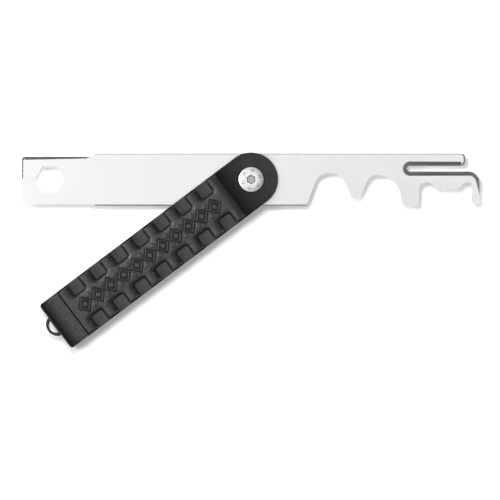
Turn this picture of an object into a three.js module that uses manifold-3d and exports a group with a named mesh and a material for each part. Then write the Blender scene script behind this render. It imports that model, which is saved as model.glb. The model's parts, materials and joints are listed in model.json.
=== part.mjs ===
// A folding scraper multi tool: one flat steel bar that turns at its middle in a two-sided handle.
// Millimetres, +Z up. The origin is on the pivot axis, in the plane that the tool lies on.
// The bar lies along X with its hook towards +X, and the handle points down and to the left.
// Every piece is built around the tool's middle plane, z = 0, and the last group lifts them all.

import * as THREE from 'three';
import { mergeVertices } from 'three/addons/utils/BufferGeometryUtils.js';
import Module from 'manifold-3d';

const wasm = await Module();
wasm.setup();

// Heights above the middle plane, from the bar outwards. The rear side has the same ones, turned over.
const BAR_FACE = 1.25;
const LINER_IN = 1.6;
const LINER_OUT = 2.6;
const PLATE_OUT = 3.8;
const DISC_OUT = 4.9;
const TREAD_OUT = 6.3;
const TOOL_OUT = 6.5;

// Gaps: between clamped faces, around a rod in its bore, and under a head on its seat.
const SEAM = 0.02;
const FIT = 0.1;
const SEAT_GAP = 0.05;

// Handle, in its own frame: u runs from the pivot to the tail, w across.
const HANDLE_ANGLE = THREE.MathUtils.degToRad(217);
const HANDLE_RADIUS = 9.85;
const HANDLE_TAIL = 89.4;
const TAIL_CORNER = 1.2;
const EDGE_ROUND = 1.4;
const LINER_INSET = 0.5;
const DISC_RISE_START = 5.2;
const DISC_RISE = 0.5;
const DISC_END = 9.25;
const TREAD_START = 9.45;
const RAMP_END = 12.6;
const TREAD_END = 80.9;
const TAIL_BAND_START = 81.45;
const TAIL_ROLL_START = 85.4;
const TAIL_EDGE_HEIGHT = 4.1;

// Pockets along both edges of the tread, and the row of raised lozenges between them.
const POCKET_COUNT = 7;
const POCKET_START = 13.3;
const POCKET_PITCH = 9.7;
const POCKET_WIDTH = 6;
const POCKET_RUNOUT = 1.4;
const POCKET_INNER = 4.3;
const POCKET_FLOOR_IN = 4.8;
const POCKET_FLOOR_OUT = 4.6;
const LOZENGE_COUNT = 11;
const LOZENGE_START = 16.5;
const LOZENGE_PITCH = 5.9;
const LOZENGE_HALF_LENGTH = 2.6;
const LOZENGE_HALF_WIDTH = 2.9;
const LOZENGE_HOLE_SHARE = 0.72;
const LOZENGE_ROOT = 0.3;

// Bar outline, from the hex end on the left to the hook on the right.
const BAR_HALF_WIDTH = 9.5;
const HEX_END = -83.8;
const NARROW_TOP = 8.4;
const NARROW_BOTTOM = -9;
const NARROW_END = -58.3;
const FULL_START = -57;
const HEX_CENTRE = -73.5;
const HEX_ACROSS_FLATS = 9.5;
const HEX_TOP_CORNER = 1.3;
const HEX_BOTTOM_CORNER = 1.5;
const TOOTH_BOTTOM = -6.6;
const FIRST_ARCH = { start: 20.3, centre: [28.8, -3.3], radius: 5.8, end: 36.7 };
const SECOND_ARCH = { start: 39.8, centre: [46.1, -2.5], radius: 4.2, backRadius: 8.5, end: 55.4 };
const CREST_TOP = -0.9;
const RECESS_FLAT = -3.4;
const RECESS_LEFT = 61.3;
const RECESS_RIGHT = 80.4;
const RECESS_CORNER = 1.2;
const CREST_RADIUS = 2.8;
const RECESS_FILLET = 2.3;
const HOOK_OUTER = 83.4;
const HOOK_ROUND = 4;
const HOOK_TIP_CENTRE = -7.5;
const SLOT_MIDDLE = 4;
const SLOT_RADIUS = 1;
const SLOT_END = 58;
const UPPER_ARM_END = 78.2;
const UPPER_ARM_TOP_CORNER = 1.4;
const UPPER_ARM_SLOT_CORNER = 1.6;

// Bevels on the bar's front face. A slope is depth over width, and widths are [distance walked along
// the edge, width on the face].
const SLOT_BEVEL_SLOPE = 0.7;
const SLOT_BEVEL_WIDTHS = [[0, 0.25], [1.1, 0.6], [4, 0.6], [6.5, 1.65], [49, 1.6], [55.5, 1.25], [60, 0.05]];
const HOOK_BEVEL_END = -5.3;
const HEX_END_BEVEL_SLOPE = 0.64;
const HEX_END_BEVEL_WIDTHS = [[0, 0.05], [0.8, 0.65], [7, 0.7], [9.2, 1.2], [30.5, 1.2], [32.5, 0.05]];
const HEX_END_BEVEL_FADE = 0.8;
const NECK_BEVEL_FADE = 2;
const EDGE_BEVEL_SLOPE = 0.7;
const TOP_BEVEL_WIDTHS = [[0, 0.25]];
const BOTTOM_BEVEL_WIDTHS = [[0, 0.38]];
const BOTTOM_BEVEL_OVERRUN = 1.7;
const OVERHANG = 0.3;
const GRIND_TOP = -0.5;
const GRIND_START = 34.2;
const GRIND_END = 80.3;
const GRIND_DEPTH = 0.42;

// Pivot stack and stop pin.
const BARREL_RADIUS = 3.3;
const BUSH_RADIUS = 4;
const PIVOT_HOLE_RADIUS = 4.05;
const HEAD_RADIUS = 4.65;
const HEAD_SEAT = 3.7;
const HEAD_CROWN = 5.95;
const HEAD_CORNER = 0.3;
const HEAD_DROP = 0.35;
const COUNTERBORE_RADIUS = 4.8;
const COUNTERBORE_FLOOR = 3.2;
const SHANK_RADIUS = 2.45;
const SOCKET_ACROSS_FLATS = 3;
const SOCKET_DEPTH = 1.6;
const HEAD_FLAT_RADIUS = 2.1;
const SHANK_END = -2.2;
const NUT_HEAD_EDGE = 0.4;
const NUT_BARREL_END = 3.1;
const NUT_BORE_END = -2.4;
const BAR_WASHER_RADII = [4.1, 5.1];
const SPRING_WASHER_RADII = [2.7, 4.6];
const WASHER_GAP = 0.03;
const STOP_RADIUS = 6.3;
const STOP_PIN_RADIUS = 1;
const STOP_SLOT_HALF_WIDTH = 1.1;
const FINE = 48;
const MEDIUM = 24;

// Tail screws, and the pegs that locate each moulded plate on its liner.
const TAIL_SCREW_U = 87;
const TAIL_SCREW_W = 6;
const TAIL_SHANK_RADIUS = 1;
const TAIL_HEAD_RADIUS = 1.75;
const TAIL_HEAD_SEAT = 3.9;
const TAIL_HEAD_TOP = 5.3;
const TAIL_HEAD_EDGE = 0.6;
const TAIL_SHANK_END = 4.2;
const TAIL_SOCKET_ACROSS_FLATS = 1.3;
const TAIL_SOCKET_DEPTH = 0.7;
const INSERT_RADIUS = 1.7;
const INSERT_END = 4.6;
const INSERT_BORE_END = 5;
const CLEARANCE = 0.15;
const PEG_PLACES = [30, 58];
const PEG_RADIUS = 1.5;

// Lanyard loop: a plate between the liners, and a half oval beyond the tail.
const LOOP_PLATE_START = 85.2;
const LOOP_PLATE_END = 88.9;
const LOOP_PLATE_HALF_WIDTH = 8.2;
const LOOP_MIDDLE = -0.3;
const LOOP_END = 92.4;
const LOOP_HALF_WIDTH = 4;
const LOOP_HOLE_START = 89.6;
const LOOP_HOLE_END = 91.5;
const LOOP_HOLE_HALF_WIDTH = 2.4;

// ---- solids ----

function solidOf(geometry) {
  geometry.deleteAttribute('normal');
  geometry.deleteAttribute('uv');
  const merged = mergeVertices(geometry, 1e-4);
  const corners = merged.index.array;
  const triangles = [];
  for (let i = 0; i < corners.length; i += 3) {
    const [a, b, c] = corners.slice(i, i + 3);
    if (a !== b && b !== c && c !== a) triangles.push(a, b, c);
  }
  const vertProperties = merged.attributes.position.array;
  const triVerts = new Uint32Array(triangles);
  return new wasm.Manifold(new wasm.Mesh({ numProp: 3, vertProperties, triVerts }));
}

function geometryOf(solid) {
  const mesh = solid.getMesh();
  const geometry = new THREE.BufferGeometry();
  geometry.setAttribute('position', new THREE.BufferAttribute(mesh.vertProperties, 3));
  geometry.setIndex(new THREE.BufferAttribute(mesh.triVerts, 1));
  geometry.computeVertexNormals();
  return geometry;
}

function extruded(shape, depth, curveSegments) {
  return new THREE.ExtrudeGeometry(shape, { depth, bevelEnabled: false, curveSegments });
}

// A plan outline raised from z = low to z = high.
function prism(shape, low, high, curveSegments = 8) {
  return solidOf(extruded(shape, high - low, curveSegments).translate(0, 0, low));
}

// A side profile (u, z) drawn across the handle's whole width.
function across(profile, curveSegments = 6) {
  const geometry = extruded(profile, 2 * HANDLE_RADIUS, curveSegments);
  return solidOf(geometry.translate(0, 0, -HANDLE_RADIUS).rotateX(Math.PI / 2));
}

// A cross-section (w, z) drawn along the handle's whole length.
function along(section, curveSegments = 6) {
  const turn = new THREE.Matrix4().set(0, 0, 1, 0, 1, 0, 0, 0, 0, 1, 0, 0, 0, 0, 0, 1);
  const geometry = extruded(section, HANDLE_TAIL + HANDLE_RADIUS, curveSegments);
  return solidOf(geometry.translate(0, 0, -HANDLE_RADIUS).applyMatrix4(turn));
}

function rod(radius, low, high, x = 0, y = 0, sides = MEDIUM) {
  const geometry = new THREE.CylinderGeometry(radius, radius, high - low, sides);
  return solidOf(geometry.rotateX(Math.PI / 2).translate(x, y, (low + high) / 2));
}

function ring(inner, outer, low, high, sides = FINE) {
  return rod(outer, low, high, 0, 0, sides).subtract(rod(inner, low - 1, high + 1, 0, 0, sides));
}

// A profile of [radius, height] pairs turned about Z, from the axis back to the axis.
function turned(profile, sides = FINE) {
  const points = profile.map(([radius, height]) => new THREE.Vector2(radius, height));
  return solidOf(new THREE.LatheGeometry(points, sides).rotateX(Math.PI / 2));
}

function hexPrism(acrossFlats, low, high, x = 0) {
  const hexagon = new THREE.CylinderGeometry(1, 1, high - low, 6).rotateX(Math.PI / 2).rotateZ(Math.PI / 2);
  const corner = acrossFlats / Math.sqrt(3);
  return solidOf(hexagon.scale(corner, corner, 1).translate(x, 0, (low + high) / 2));
}

// A closed solid through a row of matching convex sections, each a list of Vector3 that goes round
// clockwise as seen from the section before it.
function loft(sections) {
  const count = sections[0].length;
  const last = (sections.length - 1) * count;
  const positions = sections.flat().flatMap((point) => point.toArray());
  const index = [];
  for (let start = 0; start < last; start += count) {
    for (let i = 0; i < count; i += 1) {
      const next = (i + 1) % count;
      index.push(start + i, start + next, start + count + i);
      index.push(start + next, start + count + next, start + count + i);
    }
  }
  for (let i = 1; i < count - 1; i += 1) {
    index.push(0, i + 1, i);
    index.push(last, last + i, last + i + 1);
  }
  const geometry = new THREE.BufferGeometry();
  geometry.setAttribute('position', new THREE.Float32BufferAttribute(positions, 3));
  geometry.setIndex(index);
  return solidOf(geometry);
}

// ---- the bar ----

// Where a line from a point touches a circle, on the side given by turn (+1 or -1).
function tangentPoint(from, centre, radius, turn) {
  const reach = from.clone().sub(centre);
  const angle = reach.angle() + turn * Math.acos(radius / reach.length());
  return centre.clone().add(new THREE.Vector2(Math.cos(angle), Math.sin(angle)).multiplyScalar(radius));
}

// Up a straight flank, over a round crest and down the other flank.
function addFirstArch(shape) {
  const { start, centre, radius, end } = FIRST_ARCH;
  const middle = new THREE.Vector2(...centre);
  const left = tangentPoint(new THREE.Vector2(start, -BAR_HALF_WIDTH), middle, radius, -1);
  const right = tangentPoint(new THREE.Vector2(end, TOOTH_BOTTOM), middle, radius, 1);
  shape.lineTo(start, -BAR_HALF_WIDTH);
  shape.absarc(...centre, radius, left.sub(middle).angle(), right.sub(middle).angle(), true);
  shape.lineTo(end, TOOTH_BOTTOM);
}

// Up a straight flank, over a tighter round crest and down a wider curve.
function addSecondArch(shape) {
  const { start, centre, radius, backRadius, end } = SECOND_ARCH;
  const middle = new THREE.Vector2(...centre);
  const left = tangentPoint(new THREE.Vector2(start, TOOTH_BOTTOM), middle, radius, -1);
  const backCentre = centre[1] + radius - backRadius;
  shape.lineTo(start, TOOTH_BOTTOM);
  shape.absarc(...centre, radius, left.sub(middle).angle(), Math.PI / 2, true);
  shape.absarc(centre[0], backCentre, backRadius, Math.PI / 2, 0, true);
  shape.lineTo(end, -BAR_HALF_WIDTH);
}

// The wide recess before the hook: two crests that run through fillets into a flat between them.
function addHookRecess(shape) {
  const left = RECESS_LEFT + CREST_RADIUS;
  const right = RECESS_RIGHT - RECESS_CORNER;
  const centre = CREST_TOP - CREST_RADIUS;
  const fillet = RECESS_FLAT + RECESS_FILLET;
  const rise = fillet - centre;
  const reach = CREST_RADIUS + RECESS_FILLET;
  const offset = Math.sqrt(reach * reach - rise * rise);
  const slope = Math.atan2(rise, offset);
  shape.absarc(left, centre, CREST_RADIUS, Math.PI, slope, true);
  shape.absarc(left + offset, fillet, RECESS_FILLET, Math.PI + slope, 1.5 * Math.PI, false);
  shape.absarc(right - offset, fillet, RECESS_FILLET, 1.5 * Math.PI, 2 * Math.PI - slope, false);
  shape.absarc(right, centre, CREST_RADIUS, Math.PI - slope, Math.PI / 2, true);
  shape.absarc(right, CREST_TOP - RECESS_CORNER, RECESS_CORNER, Math.PI / 2, 0, true);
}

// The hook's round tip, its outer edge and the slot's two sides, out to the end of the upper arm.
function addHookAndSlot(shape) {
  const tip = (RECESS_RIGHT + HOOK_OUTER) / 2;
  const slotFloor = SLOT_MIDDLE - SLOT_RADIUS;
  const slotTop = SLOT_MIDDLE + SLOT_RADIUS;
  const armEnd = UPPER_ARM_END;
  const slotCorner = UPPER_ARM_SLOT_CORNER;
  const topCorner = UPPER_ARM_TOP_CORNER;
  shape.absarc(tip, HOOK_TIP_CENTRE, HOOK_OUTER - tip, Math.PI, 2 * Math.PI, false);
  shape.absarc(HOOK_OUTER - HOOK_ROUND, slotFloor - HOOK_ROUND, HOOK_ROUND, 0, Math.PI / 2, false);
  shape.absarc(SLOT_END, SLOT_MIDDLE, SLOT_RADIUS, 1.5 * Math.PI, Math.PI / 2, true);
  shape.absarc(armEnd - slotCorner, slotTop + slotCorner, slotCorner, 1.5 * Math.PI, 2 * Math.PI, false);
  shape.absarc(armEnd - topCorner, BAR_HALF_WIDTH - topCorner, topCorner, 0, Math.PI / 2, false);
}

function barOutline() {
  const shape = new THREE.Shape();
  const bottom = HEX_BOTTOM_CORNER;
  const top = HEX_TOP_CORNER;
  shape.absarc(HEX_END + bottom, NARROW_BOTTOM + bottom, bottom, Math.PI, 1.5 * Math.PI, false);
  shape.lineTo(NARROW_END, NARROW_BOTTOM);
  shape.lineTo(FULL_START, -BAR_HALF_WIDTH);
  addFirstArch(shape);
  addSecondArch(shape);
  shape.lineTo(RECESS_LEFT, -BAR_HALF_WIDTH);
  addHookRecess(shape);
  addHookAndSlot(shape);
  shape.lineTo(FULL_START, BAR_HALF_WIDTH);
  shape.lineTo(NARROW_END, NARROW_TOP);
  shape.absarc(HEX_END + top, NARROW_TOP - top, top, Math.PI / 2, Math.PI, false);
  return shape;
}

// A half ring about the pivot, which the stop pin runs in.
function stopSlotOutline() {
  const shape = new THREE.Shape();
  shape.absarc(0, 0, STOP_RADIUS + STOP_SLOT_HALF_WIDTH, 0, Math.PI, false);
  shape.absarc(-STOP_RADIUS, 0, STOP_SLOT_HALF_WIDTH, Math.PI, 2 * Math.PI, false);
  shape.absarc(0, 0, STOP_RADIUS - STOP_SLOT_HALF_WIDTH, Math.PI, 0, true);
  shape.absarc(STOP_RADIUS, 0, STOP_SLOT_HALF_WIDTH, Math.PI, 2 * Math.PI, false);
  return shape;
}

// The width at a distance, between the stops of a [distance, width] list.
function widthAt(stops, distance) {
  const next = stops.findIndex(([reached]) => reached >= distance);
  if (next <= 0) return stops.at(next)[1];
  const [from, first] = stops[next - 1];
  const [to, last] = stops[next];
  return first + (last - first) * (distance - from) / (to - from);
}

// The cutter of a bevel on the bar's front face. The edge is walked with the metal on its right.
function bevelCutter(edge, slope, widths, curveSegments = 6) {
  const points = edge.getPoints(curveSegments);
  const high = BAR_FACE + 1;
  let walked = 0;
  const sections = points.map((point, i) => {
    const before = points[Math.max(i - 1, 0)];
    const after = points[Math.min(i + 1, points.length - 1)];
    walked += point.distanceTo(before);
    const direction = after.clone().sub(before).normalize();
    const inward = new THREE.Vector2(direction.y, -direction.x);
    const width = widthAt(widths, walked);
    const low = BAR_FACE - width * slope;
    const at = (reach, height) =>
      new THREE.Vector3(point.x + inward.x * reach, point.y + inward.y * reach, height);
    return [at(-OVERHANG, high), at(width, high), at(width, BAR_FACE), at(0, low), at(-OVERHANG, low)];
  });
  return loft(sections);
}

// Round the upper arm's end, along both sides of the slot and round the hook's outer edge.
function slotBevel() {
  const edge = new THREE.Path();
  const slotFloor = SLOT_MIDDLE - SLOT_RADIUS;
  const slotTop = SLOT_MIDDLE + SLOT_RADIUS;
  const topCorner = UPPER_ARM_TOP_CORNER;
  const slotCorner = UPPER_ARM_SLOT_CORNER;
  edge.absarc(UPPER_ARM_END - topCorner, BAR_HALF_WIDTH - topCorner, topCorner, Math.PI / 2, 0, true);
  edge.absarc(UPPER_ARM_END - slotCorner, slotTop + slotCorner, slotCorner, 0, -Math.PI / 2, true);
  edge.absarc(SLOT_END, SLOT_MIDDLE, SLOT_RADIUS, Math.PI / 2, 1.5 * Math.PI, false);
  edge.absarc(HOOK_OUTER - HOOK_ROUND, slotFloor - HOOK_ROUND, HOOK_ROUND, Math.PI / 2, 0, true);
  edge.lineTo(HOOK_OUTER, HOOK_BEVEL_END);
  return bevelCutter(edge, SLOT_BEVEL_SLOPE, SLOT_BEVEL_WIDTHS);
}

// Up the upper half of the hex end, round its corner and along the top of the narrow part.
function hexEndBevel() {
  const edge = new THREE.Path();
  const corner = HEX_TOP_CORNER;
  edge.moveTo(HEX_END, 0);
  edge.lineTo(HEX_END, HEX_END_BEVEL_FADE);
  edge.lineTo(HEX_END, NARROW_TOP - corner);
  edge.absarc(HEX_END + corner, NARROW_TOP - corner, corner, Math.PI, Math.PI / 2, true);
  edge.lineTo(NARROW_END - NECK_BEVEL_FADE, NARROW_TOP);
  edge.lineTo(NARROW_END, NARROW_TOP);
  return bevelCutter(edge, HEX_END_BEVEL_SLOPE, HEX_END_BEVEL_WIDTHS);
}

// Along the full-width part's upper edge, from the hex end's neck to the upper arm's corner.
function topEdgeBevel() {
  const edge = new THREE.Path();
  edge.moveTo(FULL_START, BAR_HALF_WIDTH);
  edge.lineTo(UPPER_ARM_END - UPPER_ARM_TOP_CORNER, BAR_HALF_WIDTH);
  return bevelCutter(edge, EDGE_BEVEL_SLOPE, TOP_BEVEL_WIDTHS);
}

// Along the full-width part's lower edge, from past the first arch's flank to the hex end's neck.
function bottomEdgeBevel() {
  const edge = new THREE.Path();
  edge.moveTo(FIRST_ARCH.start + BOTTOM_BEVEL_OVERRUN, -BAR_HALF_WIDTH);
  edge.lineTo(FULL_START, -BAR_HALF_WIDTH);
  return bevelCutter(edge, EDGE_BEVEL_SLOPE, BOTTOM_BEVEL_WIDTHS);
}

// The scraping teeth are ground thinner from the crests of the arches down to their tips.
function toothGrind() {
  const bottom = -BAR_HALF_WIDTH - OVERHANG;
  const wedge = (x) => [
    new THREE.Vector3(x, GRIND_TOP, BAR_FACE + 1),
    new THREE.Vector3(x, bottom, BAR_FACE + 1),
    new THREE.Vector3(x, bottom, BAR_FACE - GRIND_DEPTH),
    new THREE.Vector3(x, GRIND_TOP, BAR_FACE),
  ];
  return loft([wedge(GRIND_START), wedge(GRIND_END)]);
}

function toolBar() {
  const blank = prism(barOutline(), -BAR_FACE, BAR_FACE);
  const through = BAR_FACE + 1;
  return blank
    .subtract(hexPrism(HEX_ACROSS_FLATS, -through, through, HEX_CENTRE))
    .subtract(rod(PIVOT_HOLE_RADIUS, -through, through, 0, 0, FINE))
    .subtract(prism(stopSlotOutline(), -through, through, 12))
    .subtract(slotBevel())
    .subtract(hexEndBevel())
    .subtract(topEdgeBevel())
    .subtract(bottomEdgeBevel())
    .subtract(toothGrind());
}

// ---- the handle's sides ----

function handleOutline(inset) {
  const radius = HANDLE_RADIUS - inset;
  const tail = HANDLE_TAIL - inset - TAIL_CORNER;
  const side = radius - TAIL_CORNER;
  const shape = new THREE.Shape();
  shape.absarc(0, 0, radius, Math.PI / 2, 1.5 * Math.PI, false);
  shape.absarc(tail, -side, TAIL_CORNER, 1.5 * Math.PI, 2 * Math.PI, false);
  shape.absarc(tail, side, TAIL_CORNER, 0, Math.PI / 2, false);
  return shape;
}

function discOutline() {
  const shape = new THREE.Shape();
  shape.absarc(0, 0, HANDLE_RADIUS, Math.PI / 2, 1.5 * Math.PI, false);
  shape.lineTo(DISC_END, -HANDLE_RADIUS);
  shape.lineTo(DISC_END, HANDLE_RADIUS);
  return shape;
}

// The handle's cross-section, with its outer edges rounded.
function roundedSection(top) {
  const shape = new THREE.Shape();
  const side = HANDLE_RADIUS - EDGE_ROUND;
  shape.moveTo(-HANDLE_RADIUS, 0);
  shape.lineTo(HANDLE_RADIUS, 0);
  shape.absarc(side, top - EDGE_ROUND, EDGE_ROUND, 0, Math.PI / 2, false);
  shape.absarc(-side, top - EDGE_ROUND, EDGE_ROUND, Math.PI / 2, Math.PI, false);
  return shape;
}

function pegs(radius, low, high) {
  const rods = PEG_PLACES.map((u) => rod(radius, low, high, u, 0));
  return rods[0].add(rods[1]);
}

function tailHoles(radius, low, high) {
  const holes = [-1, 1].map((side) => rod(radius, low, high, TAIL_SCREW_U, side * TAIL_SCREW_W));
  return holes[0].add(holes[1]);
}

function liner() {
  return prism(handleOutline(LINER_INSET), LINER_IN, LINER_OUT, 12)
    .subtract(rod(BARREL_RADIUS + FIT, 0, TOOL_OUT, 0, 0, FINE))
    .subtract(rod(STOP_PIN_RADIUS + SEAT_GAP, 0, TOOL_OUT, -STOP_RADIUS, 0))
    .subtract(pegs(PEG_RADIUS + CLEARANCE, 0, TOOL_OUT))
    .subtract(tailHoles(TAIL_SHANK_RADIUS + CLEARANCE, 0, TOOL_OUT));
}

// Flat round the screw, and rising a little towards the tread.
function discProfile() {
  const shape = new THREE.Shape();
  shape.moveTo(-HANDLE_RADIUS, LINER_OUT + SEAM);
  shape.lineTo(DISC_END, LINER_OUT + SEAM);
  shape.lineTo(DISC_END, DISC_OUT + DISC_RISE);
  shape.quadraticCurveTo((DISC_END + DISC_RISE_START) / 2, DISC_OUT, DISC_RISE_START, DISC_OUT);
  shape.lineTo(-HANDLE_RADIUS, DISC_OUT);
  return shape;
}

function tailBandProfile() {
  const shape = new THREE.Shape();
  shape.moveTo(TAIL_BAND_START, LINER_OUT + SEAM);
  shape.lineTo(HANDLE_TAIL, LINER_OUT + SEAM);
  shape.lineTo(HANDLE_TAIL, TAIL_EDGE_HEIGHT);
  const rollLength = HANDLE_TAIL - TAIL_ROLL_START;
  const rollHeight = TREAD_OUT - TAIL_EDGE_HEIGHT;
  shape.absellipse(TAIL_ROLL_START, TAIL_EDGE_HEIGHT, rollLength, rollHeight, 0, Math.PI / 2, false, 0);
  shape.lineTo(TAIL_BAND_START, TREAD_OUT);
  return shape;
}

// A moulded plate with the pivot disc at one end and the tail band at the other.
function scale(tailBore) {
  const low = LINER_OUT + SEAM;
  const plate = prism(handleOutline(0), low, PLATE_OUT, 12);
  const disc = across(discProfile()).intersect(prism(discOutline(), low, TOOL_OUT, 12));
  const tailBand = across(tailBandProfile(), 10)
    .intersect(along(roundedSection(TREAD_OUT)))
    .intersect(prism(handleOutline(0), 0, TOOL_OUT, 6));
  return plate
    .add(disc)
    .add(tailBand)
    .add(pegs(PEG_RADIUS, LINER_IN + FIT, PLATE_OUT))
    .subtract(rod(COUNTERBORE_RADIUS, COUNTERBORE_FLOOR, TOOL_OUT, 0, 0, FINE))
    .subtract(rod(BARREL_RADIUS + FIT, 0, TOOL_OUT, 0, 0, FINE))
    .subtract(tailBore);
}

// Blind holes from inside, for the threaded inserts.
function insertBores() {
  return tailHoles(INSERT_RADIUS + FIT, 0, INSERT_BORE_END);
}

// Stepped holes from outside, for the tail screws.
function screwBores() {
  const shanks = tailHoles(TAIL_SHANK_RADIUS + CLEARANCE, 0, TOOL_OUT + 1);
  return shanks.add(tailHoles(TAIL_HEAD_RADIUS + CLEARANCE, TAIL_HEAD_SEAT, TOOL_OUT + 1));
}

function treadProfile() {
  const shape = new THREE.Shape();
  shape.moveTo(TREAD_START, PLATE_OUT + SEAM);
  shape.lineTo(TREAD_END, PLATE_OUT + SEAM);
  shape.lineTo(TREAD_END, TREAD_OUT);
  shape.lineTo(RAMP_END, TREAD_OUT);
  shape.lineTo(TREAD_START, DISC_OUT + DISC_RISE);
  return shape;
}

// One pocket's cutter, from its inner wall out past the handle's edge.
function pocket(start, side) {
  const section = (w, floor) => {
    const top = TREAD_OUT + 1;
    const runout = POCKET_RUNOUT * (top - floor) / (TREAD_OUT - floor);
    const floorEnd = start + POCKET_WIDTH - POCKET_RUNOUT;
    return [
      new THREE.Vector3(start, side * w, floor),
      new THREE.Vector3(start, side * w, top),
      new THREE.Vector3(floorEnd + runout, side * w, top),
      new THREE.Vector3(floorEnd, side * w, floor),
    ];
  };
  const inner = section(POCKET_INNER, POCKET_FLOOR_IN);
  const outer = section(HANDLE_RADIUS + OVERHANG, POCKET_FLOOR_OUT);
  return loft(side > 0 ? [inner, outer] : [outer, inner]);
}

function lozenge(middle) {
  const outline = (share, Kind) => {
    const path = new Kind();
    path.moveTo(middle + LOZENGE_HALF_LENGTH * share, 0);
    path.lineTo(middle, LOZENGE_HALF_WIDTH * share);
    path.lineTo(middle - LOZENGE_HALF_LENGTH * share, 0);
    path.lineTo(middle, -LOZENGE_HALF_WIDTH * share);
    path.closePath();
    return path;
  };
  const shape = outline(1, THREE.Shape);
  shape.holes.push(outline(LOZENGE_HOLE_SHARE, THREE.Path));
  return prism(shape, TREAD_OUT - LOZENGE_ROOT, TOOL_OUT);
}

// The softer tread moulded onto the plate.
function grip() {
  let tread = across(treadProfile()).intersect(along(roundedSection(TREAD_OUT)));
  for (let i = 0; i < POCKET_COUNT; i += 1) {
    const start = POCKET_START + i * POCKET_PITCH;
    tread = tread.subtract(pocket(start, 1)).subtract(pocket(start, -1));
  }
  for (let i = 0; i < LOZENGE_COUNT; i += 1) {
    tread = tread.add(lozenge(LOZENGE_START + i * LOZENGE_PITCH));
  }
  return tread;
}

// ---- the tail loop and its screws ----

function addHalfOval(path, start, end, halfWidth) {
  path.absellipse(start, LOOP_MIDDLE, end - start, halfWidth, -Math.PI / 2, Math.PI / 2, false, 0);
}

// A plate between the liners whose end stands out of the tail as a lanyard loop.
function lanyardLoop() {
  const body = new THREE.Shape();
  body.moveTo(LOOP_PLATE_START, -LOOP_PLATE_HALF_WIDTH);
  body.lineTo(LOOP_PLATE_END, -LOOP_PLATE_HALF_WIDTH);
  addHalfOval(body, LOOP_PLATE_END, LOOP_END, LOOP_HALF_WIDTH);
  body.lineTo(LOOP_PLATE_END, LOOP_PLATE_HALF_WIDTH);
  body.lineTo(LOOP_PLATE_START, LOOP_PLATE_HALF_WIDTH);
  const hole = new THREE.Path();
  addHalfOval(hole, LOOP_HOLE_START, LOOP_HOLE_END, LOOP_HOLE_HALF_WIDTH);
  hole.closePath();
  body.holes.push(hole);
  const half = LINER_IN - SEAM;
  const screwHoles = tailHoles(TAIL_SHANK_RADIUS + CLEARANCE, -TOOL_OUT, TOOL_OUT);
  return prism(body, -half, half, 16).subtract(screwHoles);
}

// Turned about its own axis, with its head towards -Z, and moved to its place.
function tailScrew(side) {
  const socket = hexPrism(TAIL_SOCKET_ACROSS_FLATS, -TOOL_OUT, TAIL_SOCKET_DEPTH - TAIL_HEAD_TOP);
  const seat = -TAIL_HEAD_SEAT - SEAT_GAP;
  const screw = turned([
    [0, -TAIL_HEAD_TOP],
    [TAIL_HEAD_RADIUS - TAIL_HEAD_EDGE, -TAIL_HEAD_TOP],
    [TAIL_HEAD_RADIUS, TAIL_HEAD_EDGE - TAIL_HEAD_TOP],
    [TAIL_HEAD_RADIUS, seat],
    [TAIL_SHANK_RADIUS, seat],
    [TAIL_SHANK_RADIUS, TAIL_SHANK_END],
    [0, TAIL_SHANK_END],
  ], MEDIUM).subtract(socket);
  return screw.translate([TAIL_SCREW_U, side * TAIL_SCREW_W, 0]);
}

function tailInsert(side) {
  const insert = ring(TAIL_SHANK_RADIUS + FIT, INSERT_RADIUS, LINER_OUT + FIT, INSERT_END, MEDIUM);
  return insert.translate([TAIL_SCREW_U, side * TAIL_SCREW_W, 0]);
}

// ---- the pivot ----

// A low domed head with a rounded rim.
function headProfile() {
  const shoulder = HEAD_RADIUS - HEAD_CORNER;
  const reach = shoulder - HEAD_FLAT_RADIUS;
  const profile = [];
  for (let i = 0; i <= 4; i += 1) {
    const share = i / 4;
    profile.push([HEAD_FLAT_RADIUS + reach * share, HEAD_CROWN - HEAD_DROP * share * share]);
  }
  for (let i = 1; i <= 4; i += 1) {
    const angle = (i / 4) * (Math.PI / 2);
    const fall = HEAD_CORNER * (1 - Math.cos(angle));
    profile.push([shoulder + HEAD_CORNER * Math.sin(angle), HEAD_CROWN - HEAD_DROP - fall]);
  }
  return profile;
}

function pivotScrew() {
  const screw = turned([
    [0, HEAD_CROWN],
    ...headProfile(),
    [HEAD_RADIUS, HEAD_SEAT],
    [SHANK_RADIUS, HEAD_SEAT],
    [SHANK_RADIUS, SHANK_END],
    [0, SHANK_END],
  ].reverse());
  return screw.subtract(hexPrism(SOCKET_ACROSS_FLATS, HEAD_CROWN - SOCKET_DEPTH, HEAD_CROWN + 1));
}

// A barrel nut with a plain flat head, which the tool rests on.
function pivotNut() {
  return turned([
    [0, -TOOL_OUT],
    [HEAD_RADIUS - NUT_HEAD_EDGE, -TOOL_OUT],
    [HEAD_RADIUS, NUT_HEAD_EDGE - TOOL_OUT],
    [HEAD_RADIUS, -COUNTERBORE_FLOOR - SEAT_GAP],
    [BARREL_RADIUS, -COUNTERBORE_FLOOR - SEAT_GAP],
    [BARREL_RADIUS, NUT_BARREL_END],
    [SHANK_RADIUS + FIT, NUT_BARREL_END],
    [SHANK_RADIUS + FIT, NUT_BORE_END],
    [0, NUT_BORE_END],
  ]);
}

// ---- materials and assembly ----

const steel = { color: 0xd9dadb, roughness: 0.35, metalness: 1 };
const brightSteel = { color: 0xe4e5e6, roughness: 0.22, metalness: 1 };
const darkSteel = { color: 0x6a6c6f, roughness: 0.45, metalness: 1 };
const brass = { color: 0xb8995a, roughness: 0.4, metalness: 1 };
const nylon = { color: 0x2b2b2c, roughness: 0.55, metalness: 0 };
const rubber = { color: 0x3b3a39, roughness: 0.75, metalness: 0 };

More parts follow.
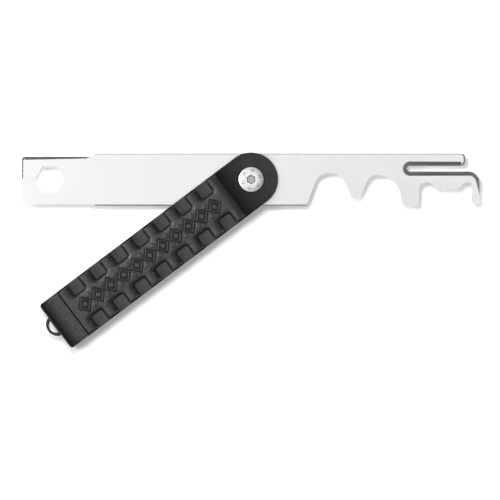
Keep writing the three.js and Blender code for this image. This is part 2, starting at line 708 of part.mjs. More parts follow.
function piece(name, solid, finish) {
  const mesh = new THREE.Mesh(geometryOf(solid), new THREE.MeshStandardMaterial(finish));
  mesh.name = name;
  return mesh;
}

function sideOf(name, tailBore) {
  const side = new THREE.Group();
  side.add(piece(`${name}_liner`, liner(), steel));
  side.add(piece(`${name}_scale`, scale(tailBore), nylon));
  side.add(piece(`${name}_grip`, grip(), rubber));
  side.add(piece(`${name}_washer`, ring(...BAR_WASHER_RADII, BAR_FACE + WASHER_GAP, LINER_IN - SEAM), brass));
  return side;
}

function pivotStack() {
  const bushEnd = LINER_IN - SEAM;
  const bush = ring(BARREL_RADIUS + FIT, BUSH_RADIUS, -bushEnd, bushEnd);
  const springWasher = ring(...SPRING_WASHER_RADII, COUNTERBORE_FLOOR + WASHER_GAP, HEAD_SEAT - WASHER_GAP);
  const stopPin = rod(STOP_PIN_RADIUS, -LINER_OUT, LINER_OUT, -STOP_RADIUS);
  const stack = new THREE.Group();
  stack.add(piece('pivot_screw', pivotScrew(), brightSteel));
  stack.add(piece('pivot_nut', pivotNut(), brightSteel));
  stack.add(piece('pivot_bush', bush, brass));
  stack.add(piece('spring_washer', springWasher, darkSteel));
  stack.add(piece('stop_pin', stopPin, darkSteel));
  return stack;
}

function tailHardware() {
  const hardware = new THREE.Group();
  hardware.add(piece('lanyard_loop', lanyardLoop(), darkSteel));
  for (const [name, side] of [['left', 1], ['right', -1]]) {
    hardware.add(piece(`${name}_tail_screw`, tailScrew(side), steel));
    hardware.add(piece(`${name}_tail_insert`, tailInsert(side), brass));
  }
  return hardware;
}

function handle() {
  const rear = sideOf('rear', screwBores());
  rear.rotation.x = Math.PI;
  const group = new THREE.Group();
  group.add(sideOf('front', insertBores()), rear, pivotStack(), tailHardware());
  group.rotation.z = HANDLE_ANGLE;
  return group;
}

const tool = new THREE.Group();
tool.add(piece('tool_bar', toolBar(), steel), handle());
tool.position.z = TOOL_OUT;

export default tool;
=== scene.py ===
"""A folding scraper multi tool, lying open on a white table, seen from straight above."""

import json
import math

import bmesh
import bpy
from mathutils import Matrix, Vector


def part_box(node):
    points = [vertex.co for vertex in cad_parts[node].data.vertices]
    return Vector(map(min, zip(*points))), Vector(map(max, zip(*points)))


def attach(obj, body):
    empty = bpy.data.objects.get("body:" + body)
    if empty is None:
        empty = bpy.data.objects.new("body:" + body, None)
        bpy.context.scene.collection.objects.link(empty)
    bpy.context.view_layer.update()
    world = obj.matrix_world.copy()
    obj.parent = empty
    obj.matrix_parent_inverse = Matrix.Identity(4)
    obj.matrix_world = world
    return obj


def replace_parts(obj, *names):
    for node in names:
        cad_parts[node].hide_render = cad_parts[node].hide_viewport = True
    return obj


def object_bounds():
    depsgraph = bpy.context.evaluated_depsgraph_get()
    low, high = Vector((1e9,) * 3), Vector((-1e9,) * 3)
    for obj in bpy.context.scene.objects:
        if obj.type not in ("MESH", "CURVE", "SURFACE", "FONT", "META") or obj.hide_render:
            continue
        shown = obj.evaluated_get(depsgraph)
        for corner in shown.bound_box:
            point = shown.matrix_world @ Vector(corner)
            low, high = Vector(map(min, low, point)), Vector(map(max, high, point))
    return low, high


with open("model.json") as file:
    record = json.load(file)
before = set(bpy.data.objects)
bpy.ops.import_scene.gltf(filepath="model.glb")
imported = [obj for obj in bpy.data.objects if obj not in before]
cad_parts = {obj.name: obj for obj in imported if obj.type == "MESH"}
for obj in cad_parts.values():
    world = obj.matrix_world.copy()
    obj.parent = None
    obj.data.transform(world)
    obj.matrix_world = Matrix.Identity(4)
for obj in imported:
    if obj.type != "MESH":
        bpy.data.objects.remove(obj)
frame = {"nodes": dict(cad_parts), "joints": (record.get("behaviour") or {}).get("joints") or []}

CAD_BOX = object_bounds()
MM = 0.001

# Camera: height above the bar's face, and the width that the picture shows there.
CAMERA_HEIGHT = 2000 * MM
PICTURE_WIDTH = 182.5 * MM
PICTURE_CENTRE = Vector((-0.4 * MM, -25.7 * MM, 0))
CLIP_START = 10 * MM
SENSOR_WIDTH_MM = 36

# Light: a dome that glows overhead, a key that throws the shadows, and a side softbox for the glints.
# Azimuths are in degrees from +X and the other angles in degrees from straight up, distances in metres.
# DOME_LEVELS gives the dome's brightness at angles from its brightest direction.
DOME_AZIMUTH = 165
DOME_LEAN = 14
DOME_STRENGTH = 1.15
DOME_LEVELS = [(78, 0.06), (60, 0.06), (45, 0.22), (30, 0.65)]
DOME_HORIZON = 0.25
KEY_AZIMUTH = 114
KEY_FROM_VERTICAL = 12.5
KEY_DISTANCE = 0.7
KEY_SIZE = 0.13
KEY_RADIANCE = 62
GLINT_AZIMUTH = 172
GLINT_FROM_VERTICAL = 41
GLINT_DISTANCE = 0.6
GLINT_SIZE = 0.26
GLINT_RADIANCE = 7

# Table: its half size in metres, the gap below the object, and its finish.
TABLE_HALF_SIZE = 1.0
TABLE_GAP = 0.05 * MM
TABLE_ROUGHNESS = 0.8
TABLE_SPECULAR = 0.1
TABLE_GLOW = 0.16

# Handle frame: u runs from the pivot to the tail, v across, z out from the middle plane. In mm.
PIVOT = Vector(frame["joints"][0]["pos_m"])
HANDLE_ANGLE = math.radians(217)
HANDLE_HALF_WIDTH = 9.85
TREAD_START = 9.45
TREAD_END = 80.9
TREAD_LOW = (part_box("front_grip")[0].z - PIVOT.z) / MM
LOZENGE_TOP = (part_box("front_grip")[1].z - PIVOT.z) / MM
LOZENGE_RISE = 0.2
TREAD_TOP = LOZENGE_TOP - LOZENGE_RISE
DISC_THICKNESS = 3.2
DISC_TOP = (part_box("front_scale")[0].z - PIVOT.z) / MM + DISC_THICKNESS

# Ramp at the tread's pivot end, with a small step up from the disc. In mm.
RAMP_LENGTH = 3.2
RAMP_STEP = 0.5
RAMP_FOOT = DISC_TOP + RAMP_STEP

# Side edges: how ribs and pocket floors roll down there, and how far the ribs stop short of them. In mm.
RIB_ROLL_WIDTH = 0.6
RIB_ROLL_RADIUS = 0.7
RIB_SETBACK = 0.65
SETBACK_START = 6
FLOOR_ROLL_WIDTH = 0.2
FLOOR_ROLL_RADIUS = 0.3

# Pockets along both edges of the tread. Each has steep walls and a floor that scoops up towards the
# tail, the tread rolls down a little round it, and the rib after it starts low and rises. In mm.
POCKET_COUNT = 7
POCKET_START = 13.05
POCKET_PITCH = 9.7
POCKET_WIDTH = 6.2
POCKET_INNER = 4.1
POCKET_CORNER = 1.4
POCKET_WALL = 0.85
POCKET_FLOOR = 4.2
SCOOP_START = 1.6
SCOOP_RISE = 0.62
RIB_DIP = 0.55
RIB_RISE = 3.1
RIB_DIP_INNER = 3.6
RIB_DIP_OUTER = 5.4
SHOULDER_WIDTH = 1.6
SHOULDER_DROP = 0.23

# Lozenges along the middle of the tread: a raised outline round a raised middle, with grooves
# beside them. In mm.
LOZENGE_COUNT = 11
LOZENGE_START = 16.5
LOZENGE_PITCH = 5.9
LOZENGE_HALF_LENGTH = 2.6
LOZENGE_HALF_WIDTH = 2.9
LOZENGE_LINE = 0.6
LOZENGE_GROOVE = 0.45
LOZENGE_GROOVE_DEPTH = 0.3
LOZENGE_SLOPE = 0.14
STUD_HALF_SIZE = 1.05
STUD_ACROSS = 2.15

# The tread's mesh: its steps in mm, and the angle above which an edge stays sharp.
GRID_STEP = 0.17
FINE_STEP = 0.1
SHARP_ANGLE = math.radians(60)

# The nylon's paleness at places along the handle, in mm from the pivot. It is painted shade: darker towards
# the tread on the disc, dark along the tread where the nylon shows beside the ribs' ends, palest on the
# tail band, and darker again where the tail band rolls down.
NYLON_PAINTED_LEVELS = [
    (-11, 0.47), (-3, 0.4), (2, 0.26), (7, 0.08), (9.3, 0.03),
    (81.4, 0.03), (81.5, 0.8), (84.5, 0.75), (86.4, 0.25), (88.5, 0.02),
]

# Small circles on the pivot screw's head, sunk a little into it.
MARK_COUNT = 6
MARK_TURN = math.radians(20)
MARK_REACH = 3.1 * MM
MARK_RADIUS = 0.45 * MM
MARK_WIRE = 0.12 * MM
MARK_DROP = 0.13 * MM
MARK_RING_STEPS = 28
MARK_WIRE_STEPS = 8

# The pivot screw's hex socket, which gets painted shade: how far its floor, walls and mouth lie from the
# pivot's axis, how far below the rim the painted shade begins and is full, and how much of the steel's
# brightness is left in it.
SOCKET_FLOOR_REACH = 1.1 * MM
SOCKET_WALL_REACH = 1.3 * MM
SOCKET_REACH = 1.8 * MM
SOCKET_FADE = 0.1 * MM
SOCKET_SHADE_START = 0.1 * MM
SOCKET_SHADE_FULL = 0.5 * MM
SOCKET_WALL_LEVEL = 0.22
SOCKET_FLOOR_LEVEL = 0.56

# Most of a noise texture's values lie between these.
NOISE_LOW = 0.3
NOISE_HIGH = 0.7

# Rounded edges of the CAD nodes: corners closer than the first are joined, faces flatter than the
# second are merged, and edges sharper than the third are rounded. The last keeps large faces flat.
WELD_REACH = 0.002 * MM
FLAT_ANGLE = math.radians(0.5)
EDGE_ANGLE = math.radians(20)
LARGE_FACE_WEIGHT = 100


# ---- small helpers ----

def smoothstep(low, high, value):
    """0 below low, 1 above high, and an even S-shaped rise between them."""
    share = min(1.0, max(0.0, (value - low) / (high - low)))
    return share * share * (3 - 2 * share)


def new_object(name, bm, material):
    """Turns a finished bmesh into an object in the scene."""
    mesh = bpy.data.meshes.new(name)
    bm.to_mesh(mesh)
    bm.free()
    mesh.materials.append(material)
    piece = bpy.data.objects.new(name, mesh)
    bpy.context.scene.collection.objects.link(piece)
    return piece


def smooth_faces(bm):
    """Turns every face outwards and shades it smooth."""
    bmesh.ops.recalc_face_normals(bm, faces=bm.faces)
    for face in bm.faces:
        face.smooth = True


def handle_matrix(side):
    """From handle millimetres to the CAD's metres. side is +1 in front and -1 behind, turned over."""
    turn_over = Matrix.Identity(4) if side > 0 else Matrix.Rotation(math.pi, 4, "X")
    turn = Matrix.Rotation(HANDLE_ANGLE, 4, "Z")
    return Matrix.Translation(PIVOT) @ turn @ turn_over @ Matrix.Scale(MM, 4)


# ---- materials ----

def new_material(name, **sockets):
    """A material whose shader sockets have these values, with _ for each space in a socket's name."""
    material = bpy.data.materials.new(name)
    material.use_nodes = True
    shader = material.node_tree.nodes["Principled BSDF"]
    for socket, value in sockets.items():
        shader.inputs[socket.replace("_", " ")].default_value = value
    return material


def noise(material, scale, stretch=(1, 1, 1), detail=3.0):
    """A noise value in object space. scale is in features per metre."""
    nodes = material.node_tree.nodes
    links = material.node_tree.links
    place = nodes.new("ShaderNodeTexCoord")
    mapping = nodes.new("ShaderNodeMapping")
    mapping.inputs["Scale"].default_value = stretch
    texture = nodes.new("ShaderNodeTexNoise")
    texture.inputs["Scale"].default_value = scale
    texture.inputs["Detail"].default_value = detail
    links.new(place.outputs["Object"], mapping.inputs["Vector"])
    links.new(mapping.outputs["Vector"], texture.inputs["Vector"])
    return texture.outputs["Fac"]


def distance_along(material, direction):
    """How far a point of the surface lies along a direction, in metres."""
    nodes = material.node_tree.nodes
    place = nodes.new("ShaderNodeTexCoord")
    reach = nodes.new("ShaderNodeVectorMath")
    reach.operation = "DOT_PRODUCT"
    reach.inputs[1].default_value = direction
    material.node_tree.links.new(place.outputs["Object"], reach.inputs[0])
    return reach.outputs["Value"]


def from_pivot_axis(material):
    """How far a point of the surface lies from the pivot's axis, in metres."""
    nodes = material.node_tree.nodes
    links = material.node_tree.links
    place = nodes.new("ShaderNodeTexCoord")
    flatten = nodes.new("ShaderNodeVectorMath")
    flatten.operation = "MULTIPLY"
    flatten.inputs[1].default_value = (1, 1, 0)
    reach = nodes.new("ShaderNodeVectorMath")
    reach.operation = "LENGTH"
    links.new(place.outputs["Object"], flatten.inputs[0])
    links.new(flatten.outputs["Vector"], reach.inputs[0])
    return reach.outputs["Value"]


def turned_rings(material, scale):
    """A noise value that only changes with the distance from the pivot's axis."""
    texture = material.node_tree.nodes.new("ShaderNodeTexNoise")
    texture.noise_dimensions = "1D"
    texture.inputs["Scale"].default_value = scale
    material.node_tree.links.new(from_pivot_axis(material), texture.inputs["W"])
    return texture.outputs["Fac"]


def larger(material, first, second):
    """The larger of two values."""
    node = material.node_tree.nodes.new("ShaderNodeMath")
    node.operation = "MAXIMUM"
    material.node_tree.links.new(first, node.inputs[0])
    material.node_tree.links.new(second, node.inputs[1])
    return node.outputs["Value"]


def spread(material, value, low, high, start=NOISE_LOW, end=NOISE_HIGH):
    """Maps a value's stretch from start to end onto low to high."""
    node = material.node_tree.nodes.new("ShaderNodeMapRange")
    node.inputs["From Min"].default_value = start
    node.inputs["From Max"].default_value = end
    node.inputs["To Min"].default_value = low
    node.inputs["To Max"].default_value = high
    material.node_tree.links.new(value, node.inputs["Value"])
    return node.outputs["Result"]


def tint(material, value, dark, light, shade=None):
    """Colours the surface from dark to light by a noise value, and scales that by a shade if there is one."""
    nodes = material.node_tree.nodes
    links = material.node_tree.links
    node = nodes.new("ShaderNodeValToRGB")
    first, last = node.color_ramp.elements
    first.position = NOISE_LOW
    first.color = (*dark, 1)
    last.position = NOISE_HIGH
    last.color = (*light, 1)
    links.new(value, node.inputs["Fac"])
    colour = node.outputs["Color"]
    if shade is not None:
        scaled = nodes.new("ShaderNodeVectorMath")
        scaled.operation = "SCALE"
        links.new(colour, scaled.inputs[0])
        links.new(shade, scaled.inputs["Scale"])
        colour = scaled.outputs["Vector"]
    links.new(colour, nodes["Principled BSDF"].inputs["Base Color"])


def roughen(material, value, low, high):
    """Makes the surface's roughness run from low to high by a noise value."""
    shader = material.node_tree.nodes["Principled BSDF"]
    material.node_tree.links.new(spread(material, value, low, high), shader.inputs["Roughness"])


def bump(material, value, height, below=None):
    """A bump of that height, on top of the one below. Gives its normal, for the next bump."""
    node = material.node_tree.nodes.new("ShaderNodeBump")
    node.inputs["Strength"].default_value = 1
    node.inputs["Distance"].default_value = height
    material.node_tree.links.new(value, node.inputs["Height"])
    if below is not None:
        material.node_tree.links.new(below, node.inputs["Normal"])
    shader = material.node_tree.nodes["Principled BSDF"]
    material.node_tree.links.new(node.outputs["Normal"], shader.inputs["Normal"])
    return node.outputs["Normal"]


def brushed_bar_steel():
    """Satin stainless, brushed across the bar."""
    material = new_material("bar_steel", Metallic=1)
    brushing = noise(material, scale=9000, stretch=(1, 0.03, 0.03), detail=4)
    clouds = noise(material, scale=60, detail=2)
    tint(material, brushing, dark=(0.84, 0.84, 0.835), light=(0.90, 0.90, 0.895))
    roughen(material, clouds, low=0.24, high=0.32)
    bump(material, brushing, height=0.002 * MM)
    return material


def liner_steel():
    """Plain stainless sheet, with a fine grain along X."""
    material = new_material("liner_steel", Metallic=1)
    grain = noise(material, scale=5000, stretch=(0.05, 1, 1))
    tint(material, grain, dark=(0.55, 0.555, 0.56), light=(0.66, 0.665, 0.67))
    roughen(material, grain, low=0.3, high=0.42)
    bump(material, grain, height=0.003 * MM)
    return material


def painted_nylon_shade(material):
    """Painted shade on the nylon: a paleness that fades from the disc's rim to the tread
    and is highest on the tail band.
    """
    direction = (math.cos(HANDLE_ANGLE), math.sin(HANDLE_ANGLE), 0)
    node = material.node_tree.nodes.new("ShaderNodeValToRGB")
    start, end = NYLON_PAINTED_LEVELS[0][0], NYLON_PAINTED_LEVELS[-1][0]
    stops = node.color_ramp.elements
    for place, _ in NYLON_PAINTED_LEVELS[1:-1]:
        stops.new((place - start) / (end - start))
    for stop, (_, level) in zip(stops, NYLON_PAINTED_LEVELS):
        stop.color = (level, level, level, 1)
    share = spread(material, distance_along(material, direction), 0, 1, start * MM, end * MM)
    material.node_tree.links.new(share, node.inputs["Fac"])
    return node.outputs["Color"]


def moulded_nylon():
    """Black nylon with a fine moulded grain, and painted shade that changes along the handle."""
    material = new_material("moulded_nylon", Specular_IOR_Level=0.22)
    grain = noise(material, scale=3000)
    patches = noise(material, scale=700, detail=4)
    # Painted shade along the handle, which scales the nylon's colour.
    shade = painted_nylon_shade(material)
    tint(material, patches, dark=(0.041, 0.041, 0.040), light=(0.066, 0.066, 0.064), shade=shade)
    roughen(material, grain, low=0.36, high=0.5)
    bump(material, grain, height=0.02 * MM, below=bump(material, patches, height=0.05 * MM))
    return material


def grip_rubber():
    """Black rubber, slightly warm and mottled, with a moulded sheen."""
    material = new_material("grip_rubber", Specular_IOR_Level=0.82)
    grain = noise(material, scale=2600)
    patches = noise(material, scale=800, detail=4)
    tint(material, patches, dark=(0.006, 0.006, 0.0053), light=(0.018, 0.0176, 0.016))
    roughen(material, patches, low=0.36, high=0.48)
    bump(material, grain, height=0.04 * MM, below=bump(material, patches, height=0.13 * MM))
    return material


def painted_socket_shade(material):
    """1 all over the pivot screw, but lower inside its socket, as painted shade in the recess."""
    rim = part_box("pivot_screw")[1].z
    reach = from_pivot_axis(material)
    height = distance_along(material, (0, 0, 1))
    at_rim = spread(material, height, 0, 1, rim - SOCKET_SHADE_FULL, rim - SOCKET_SHADE_START)
    on_head = spread(material, reach, 0, 1, SOCKET_REACH, SOCKET_REACH + SOCKET_FADE)
    inside = spread(
        material, reach, SOCKET_FLOOR_LEVEL, SOCKET_WALL_LEVEL, SOCKET_FLOOR_REACH, SOCKET_WALL_REACH
    )
    return larger(material, larger(material, at_rim, on_head), inside)


def turned_steel(name, shade=None):
    """Bright steel with the rings that a lathe leaves. shade is a function that paints shade on it in places.
    """
    material = new_material(name, Metallic=1)
    grain = turned_rings(material, scale=9000)
    patches = noise(material, scale=1500)
    level = shade(material) if shade else None
    tint(material, patches, dark=(0.80, 0.80, 0.79), light=(0.90, 0.90, 0.89), shade=level)
    roughen(material, grain, low=0.18, high=0.3)
    bump(material, grain, height=0.002 * MM)
    return material


def dark_steel():
    """Steel with a semi-matt dark oxide."""
    material = new_material("dark_steel", Metallic=1)
    grain = noise(material, scale=5000)
    tint(material, grain, dark=(0.03, 0.03, 0.031), light=(0.065, 0.065, 0.067))
    roughen(material, grain, low=0.35, high=0.5)
    bump(material, grain, height=0.006 * MM)
    return material


def mark_steel():
    """The dulled steel of the circles on the screw head."""
    material = new_material("mark_steel", Metallic=1)
    grain = noise(material, scale=6000)
    tint(material, grain, dark=(0.16, 0.16, 0.155), light=(0.28, 0.28, 0.27))
    roughen(material, grain, low=0.35, high=0.5)
    bump(material, grain, height=0.004 * MM)
    return material


def plain_brass():
    """Plain brass for the washers, the bush and the threaded inserts."""
    material = new_material("brass", Metallic=1)
    grain = noise(material, scale=4000)
    tint(material, grain, dark=(0.62, 0.46, 0.22), light=(0.74, 0.58, 0.31))
    roughen(material, grain, low=0.28, high=0.4)
    bump(material, grain, height=0.004 * MM)
    return material


# ---- the tread ----

def roll_off(across, width, radius):
    """How far a surface has dropped where the last stretch before its side edge curves down."""
    past = max(0.0, across - HANDLE_HALF_WIDTH + width)
    return radius - math.sqrt(radius * radius - past * past)


def past_pocket_start(u, lead):
    """How far u lies past the start of its pocket, which the last lead mm before that start belong to too."""
    index = math.floor((u - POCKET_START + lead) / POCKET_PITCH)
    index = min(POCKET_COUNT - 1, max(0, index))
    return u - POCKET_START - index * POCKET_PITCH


def pocket_inset(u, across):
    """How far a point lies inside the nearest pocket's outline. Outside, it's negative."""
    from_middle = past_pocket_start(u, (POCKET_PITCH - POCKET_WIDTH) / 2) - POCKET_WIDTH / 2
    to_end = abs(from_middle) - POCKET_WIDTH / 2 + POCKET_CORNER
    to_inner = POCKET_INNER - across + POCKET_CORNER
    round_corner = math.hypot(max(0.0, to_end), max(0.0, to_inner))
    return POCKET_CORNER - round_corner - min(0.0, max(to_end, to_inner))


def scoop_height(u):
    """A pocket's floor: flat at first, and then curving up towards its tail end."""
    share = (past_pocket_start(u, 0) - SCOOP_START) / (POCKET_WIDTH - SCOOP_START)
    return POCKET_FLOOR + SCOOP_RISE * min(1.0, max(0.0, share)) ** 2


def rib_dip(u, across):
    """How low a rib is after a pocket. The dip fades out along the rib, and towards the tread's middle."""
    past = past_pocket_start(u, 0)
    fade = 1 - min(1.0, max(0.0, (past - POCKET_WIDTH + POCKET_WALL / 2) / RIB_RISE))
    deepest = RIB_DIP * smoothstep(0, POCKET_WIDTH, past) * smoothstep(RIB_DIP_INNER, RIB_DIP_OUTER, across)
    return deepest * fade * fade


def shoulder_drop(inset):
    """The tread rolls down a little before it reaches a pocket."""
    near = min(1.0, max(0.0, 1 + inset / SHOULDER_WIDTH))
    return SHOULDER_DROP * near * near


def band(inside, start, end):
    """1 between two distances, with a short slope at each."""
    return smoothstep(start, start + LOZENGE_SLOPE, inside) * smoothstep(-end, LOZENGE_SLOPE - end, -inside)


def inside_lozenge(along, across, half_length, half_width):
    """How far a point lies inside a lozenge's outline. Outside, it's negative."""
    reach = abs(along) / half_length + abs(across) / half_width
    return (1 - reach) * half_length * half_width / math.hypot(half_length, half_width)


def past_nearest(u, start, count):
    """How far u lies past the middle of the nearest lozenge in a row that begins at start."""
    nearest = round((u - start) / LOZENGE_PITCH)
    return u - start - min(count - 1, max(0, nearest)) * LOZENGE_PITCH


def lozenge_rise(u, v):
    """The large lozenges, each with its raised outline and middle and the grooves beside them."""
    along = past_nearest(u, LOZENGE_START, LOZENGE_COUNT)
    inside = inside_lozenge(along, v, LOZENGE_HALF_LENGTH, LOZENGE_HALF_WIDTH)
    outline = band(inside, 0, LOZENGE_LINE)
    middle = band(inside, LOZENGE_LINE + LOZENGE_GROOVE, LOZENGE_HALF_WIDTH)
    grooves = band(inside, -LOZENGE_GROOVE, 0) + band(inside, LOZENGE_LINE, LOZENGE_LINE + LOZENGE_GROOVE)
    return (outline + middle) * LOZENGE_RISE - grooves * LOZENGE_GROOVE_DEPTH


def stud_rise(u, v):
    """Small lozenge studs in the gaps between the large ones."""
    along = past_nearest(u, LOZENGE_START + LOZENGE_PITCH / 2, LOZENGE_COUNT - 1)
    inside = inside_lozenge(along, abs(v) - STUD_ACROSS, STUD_HALF_SIZE, STUD_HALF_SIZE)
    return band(inside, 0, STUD_HALF_SIZE) * LOZENGE_RISE


def tread_height(u, v):
    """The tread's height at a point: ribs, ramp, pockets, lozenges and studs together."""
    across = abs(v)
    inset = pocket_inset(u, across)
    pocket = smoothstep(0, POCKET_WALL, inset)
    ramp = 1 - (1 - min(1.0, (u - TREAD_START) / RAMP_LENGTH)) ** 2
    rib = RAMP_FOOT + (TREAD_TOP - RAMP_FOOT) * ramp - rib_dip(u, across)
    rib -= roll_off(across, RIB_ROLL_WIDTH, RIB_ROLL_RADIUS) + shoulder_drop(inset)
    floor = scoop_height(u) - roll_off(across, FLOOR_ROLL_WIDTH, FLOOR_ROLL_RADIUS)
    return rib + (floor - rib) * pocket + lozenge_rise(u, v) + stud_rise(u, v)


def pulled_in(u, v):
    """The ribs stop short of the handle's edges, while the pockets' floors reach them."""
    rib = 1 - smoothstep(0, POCKET_WALL, pocket_inset(u, HANDLE_HALF_WIDTH))
    pull = RIB_SETBACK * rib * smoothstep(SETBACK_START, HANDLE_HALF_WIDTH, abs(v))
    return v - math.copysign(pull, v)


def graded(low, high, fine_places, reach):
    """Places from low to high: fine steps within reach of each fine place, and coarse ones elsewhere."""
    found = [low]
    while found[-1] < high - FINE_STEP:
        near = any(abs(found[-1] + FINE_STEP - place) < reach for place in fine_places)
        found.append(found[-1] + (FINE_STEP if near else GRID_STEP))
    found[-1] = high
    return found


def tread_rows():
    """Places along the tread, closer together at the pockets' ends."""
    ends = []
    for i in range(POCKET_COUNT):
        start = POCKET_START + i * POCKET_PITCH
        ends += [start + POCKET_WALL / 2, start + POCKET_WIDTH - POCKET_WALL / 2]
    return graded(TREAD_START, TREAD_END, ends, POCKET_WALL)


def tread_columns():
    """Places across the tread, closer together on the lozenges, the pockets' inner walls and the edges."""
    reach = LOZENGE_HALF_WIDTH / 2
    fine_places = [reach, POCKET_INNER + POCKET_WALL / 2, HANDLE_HALF_WIDTH]
    half = graded(0, HANDLE_HALF_WIDTH, fine_places, reach)[1:]
    return [-v for v in reversed(half)] + [0] + half


def tread_surface(bm):
    """The tread's upper surface, as rows of corners from the pivot to the tail."""
    columns = tread_columns()
    top = [[bm.verts.new((u, pulled_in(u, v), tread_height(u, v))) for v in columns] for u in tread_rows()]
    for low_row, high_row in zip(top, top[1:]):
        for i in range(len(columns) - 1):
            bm.faces.new((low_row[i], high_row[i], high_row[i + 1], low_row[i + 1]))
    return top


def tread_underside(bm, top):
    """Side walls all round the upper surface, down to one flat face that lies on the scale."""
    rim = top[0] + [row[-1] for row in top[1:]] + top[-1][-2::-1] + [row[0] for row in top[-2:0:-1]]
    base = [bm.verts.new((vert.co.x, vert.co.y, TREAD_LOW)) for vert in rim]
    for i in range(len(rim)):
        following = (i + 1) % len(rim)
        bm.faces.new((rim[i], rim[following], base[following], base[i]))
    bm.faces.new(base)


def tread(name, side, material):
    """A closed tread on one side of the handle. side is +1 in front and -1 behind."""
    bm = bmesh.new()
    tread_underside(bm, tread_surface(bm))
    smooth_faces(bm)
    bm.transform(handle_matrix(side))
    piece = new_object(name, bm, material)
    piece.data.set_sharp_from_angle(angle=SHARP_ANGLE)
    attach(piece, "handle")
    return piece


# ---- marks on the screw head ----

def wire_circle():
    """The outline of a mark's round wire, standing at its ring's radius along +X."""
    angles = [2 * math.pi * i / MARK_WIRE_STEPS for i in range(MARK_WIRE_STEPS)]
    return [Vector((MARK_RADIUS + MARK_WIRE * math.cos(a), 0, MARK_WIRE * math.sin(a))) for a in angles]


def wire_ring(bm, centre):
    """A small ring of round wire, lying flat."""
    loops = []
    for i in range(MARK_RING_STEPS):
        turn = Matrix.Rotation(2 * math.pi * i / MARK_RING_STEPS, 4, "Z")
        loops.append([bm.verts.new(centre + turn @ point) for point in wire_circle()])
    for loop, following in zip(loops, loops[1:] + loops[:1]):
        for i in range(MARK_WIRE_STEPS):
            beside = (i + 1) % MARK_WIRE_STEPS
            bm.faces.new((loop[i], following[i], following[beside], loop[beside]))


def head_marks(material):
    """A ring of small raised circles round the socket, half sunk in the domed head."""
    bm = bmesh.new()
    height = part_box("pivot_screw")[1].z - MARK_DROP
    for i in range(MARK_COUNT):
        turn = Matrix.Rotation(2 * math.pi * i / MARK_COUNT + MARK_TURN, 4, "Z")
        wire_ring(bm, turn @ Vector((MARK_REACH, 0, height)))
    smooth_faces(bm)
    piece = new_object("head_marks", bm, material)
    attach(piece, "handle")


# ---- carried-over CAD nodes ----

def refine(node, material, edge, segments=2):
    """Gives a CAD node its material and small rounded edges of that width."""
    piece = frame["nodes"][node]
    piece.data.materials.clear()
    piece.data.materials.append(material)
    piece.data.polygons.foreach_set("use_smooth", [True] * len(piece.data.polygons))
    weld = piece.modifiers.new("weld", "WELD")
    weld.merge_threshold = WELD_REACH
    flat = piece.modifiers.new("flat", "DECIMATE")
    flat.decimate_type = "DISSOLVE"
    flat.angle_limit = FLAT_ANGLE
    edges = piece.modifiers.new("edges", "BEVEL")
    edges.width = edge
    edges.segments = segments
    edges.limit_method = "ANGLE"
    edges.angle_limit = EDGE_ANGLE
    edges.use_clamp_overlap = True
    normals = piece.modifiers.new("normals", "WEIGHTED_NORMAL")
    normals.weight = LARGE_FACE_WEIGHT


# ---- stage ----

def area_light(name, place, size, radiance):
    """A square softbox that faces the origin. radiance is how bright its face looks."""
    light = bpy.data.lights.new(name, "AREA")
    light.shape = "SQUARE"
    light.size = size
    light.energy = radiance * math.pi * size * size
    lamp = bpy.data.objects.new(name, light)
    bpy.context.scene.collection.objects.link(lamp)
    lamp.location = place
    lamp.rotation_euler = (-place).to_track_quat("-Z", "Y").to_euler()
    return lamp


def on_dome(azimuth, from_vertical, distance):
    """A place round the origin, by its compass direction and its angle from straight up, in degrees."""
    turn = math.radians(azimuth)
    tilt = math.radians(from_vertical)
    outwards = math.sin(tilt)
    return Vector((math.cos(turn) * outwards, math.sin(turn) * outwards, math.cos(tilt))) * distance


def sky_dome():
    """A soft overhead glow that leans to one side, dark round it, with a paler band at the horizon."""
    world = bpy.data.worlds.new("studio")
    world.use_nodes = True
    nodes = world.node_tree.nodes
    links = world.node_tree.links
    direction = nodes.new("ShaderNodeTexCoord")
    lean = nodes.new("ShaderNodeVectorMath")
    lean.operation = "DOT_PRODUCT"
    lean.inputs[1].default_value = on_dome(DOME_AZIMUTH, DOME_LEAN, 1)
    falloff = nodes.new("ShaderNodeValToRGB")
    falloff.color_ramp.interpolation = "B_SPLINE"
    first, last = falloff.color_ramp.elements
    first.position = 0
    first.color = (DOME_HORIZON, DOME_HORIZON, DOME_HORIZON, 1)
    last.position = 1
    last.color = (1, 1, 1, 1)
    for angle, level in DOME_LEVELS:
        stop = falloff.color_ramp.elements.new(math.cos(math.radians(angle)))
        stop.color = (level, level, level, 1)
    background = nodes["Background"]
    background.inputs["Strength"].default_value = DOME_STRENGTH
    links.new(direction.outputs["Generated"], lean.inputs[0])
    links.new(lean.outputs["Value"], falloff.inputs["Fac"])
    links.new(falloff.outputs["Color"], background.inputs["Color"])
    bpy.context.scene.world = world


def studio():
    """The dome, the key, which the steel doesn't mirror, and the softbox for the glints."""
    sky_dome()
    key_place = on_dome(KEY_AZIMUTH, KEY_FROM_VERTICAL, KEY_DISTANCE)
    key = area_light("key", key_place, KEY_SIZE, KEY_RADIANCE)
    key.visible_glossy = False
    glint_place = on_dome(GLINT_AZIMUTH, GLINT_FROM_VERTICAL, GLINT_DISTANCE)
    area_light("glint", glint_place, GLINT_SIZE, GLINT_RADIANCE)
    bpy.context.scene.view_settings.view_transform = "Standard"


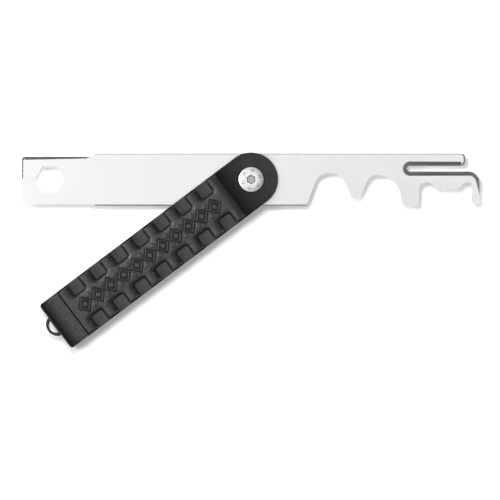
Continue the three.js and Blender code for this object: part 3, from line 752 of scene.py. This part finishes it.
def table_white():
    """Matt white with a faint glow, so that the open table stays white."""
    material = new_material("table_white", Roughness=TABLE_ROUGHNESS, Specular_IOR_Level=TABLE_SPECULAR)
    clouds = noise(material, scale=40, detail=2)
    tint(material, clouds, dark=(0.93, 0.93, 0.93), light=(0.95, 0.95, 0.95))
    shader = material.node_tree.nodes["Principled BSDF"]
    shader.inputs["Emission Color"].default_value = (1, 1, 1, 1)
    shader.inputs["Emission Strength"].default_value = TABLE_GLOW
    return material


def table_top():
    bm = bmesh.new()
    bmesh.ops.create_grid(bm, x_segments=1, y_segments=1, size=TABLE_HALF_SIZE)
    bmesh.ops.translate(bm, verts=bm.verts, vec=(0, 0, CAD_BOX[0][2] - TABLE_GAP))
    floor = new_object("table_top", bm, table_white())


def camera():
    """A long lens straight above the tool, whose picture is PICTURE_WIDTH wide at the bar's face."""
    data = bpy.data.cameras.new("camera")
    data.sensor_width = SENSOR_WIDTH_MM
    data.lens = SENSOR_WIDTH_MM * CAMERA_HEIGHT / PICTURE_WIDTH
    data.clip_start = CLIP_START
    viewer = bpy.data.objects.new("camera", data)
    bpy.context.scene.collection.objects.link(viewer)
    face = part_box("tool_bar")[1].z
    viewer.location = PICTURE_CENTRE + Vector((0, 0, face + CAMERA_HEIGHT))
    bpy.context.scene.camera = viewer


camera()
studio()
table_top()

NYLON = moulded_nylon()
RUBBER = grip_rubber()
# The pivot screw's steel gets painted shade inside its socket.
SCREW = turned_steel("socket_screw_steel", painted_socket_shade)
NUT = turned_steel("turned_steel")
LINER = liner_steel()
DARK = dark_steel()
BRASS = plain_brass()

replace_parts(tread("front_tread", 1, RUBBER), "front_grip")
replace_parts(tread("rear_tread", -1, RUBBER), "rear_grip")
refine("tool_bar", brushed_bar_steel(), edge=0.13 * MM)
for side in ("front", "rear"):
    refine(f"{side}_scale", NYLON, edge=0.3 * MM, segments=3)
    refine(f"{side}_liner", LINER, edge=0.08 * MM)
    refine(f"{side}_washer", BRASS, edge=0.04 * MM)
for side in ("left", "right"):
    refine(f"{side}_tail_screw", DARK, edge=0.08 * MM)
    refine(f"{side}_tail_insert", BRASS, edge=0.05 * MM)
refine("pivot_screw", SCREW, edge=0.1 * MM)
refine("pivot_nut", NUT, edge=0.1 * MM)
head_marks(mark_steel())
refine("pivot_bush", BRASS, edge=0.05 * MM)
refine("spring_washer", DARK, edge=0.05 * MM)
refine("stop_pin", DARK, edge=0.08 * MM)
refine("lanyard_loop", DARK, edge=0.15 * MM)
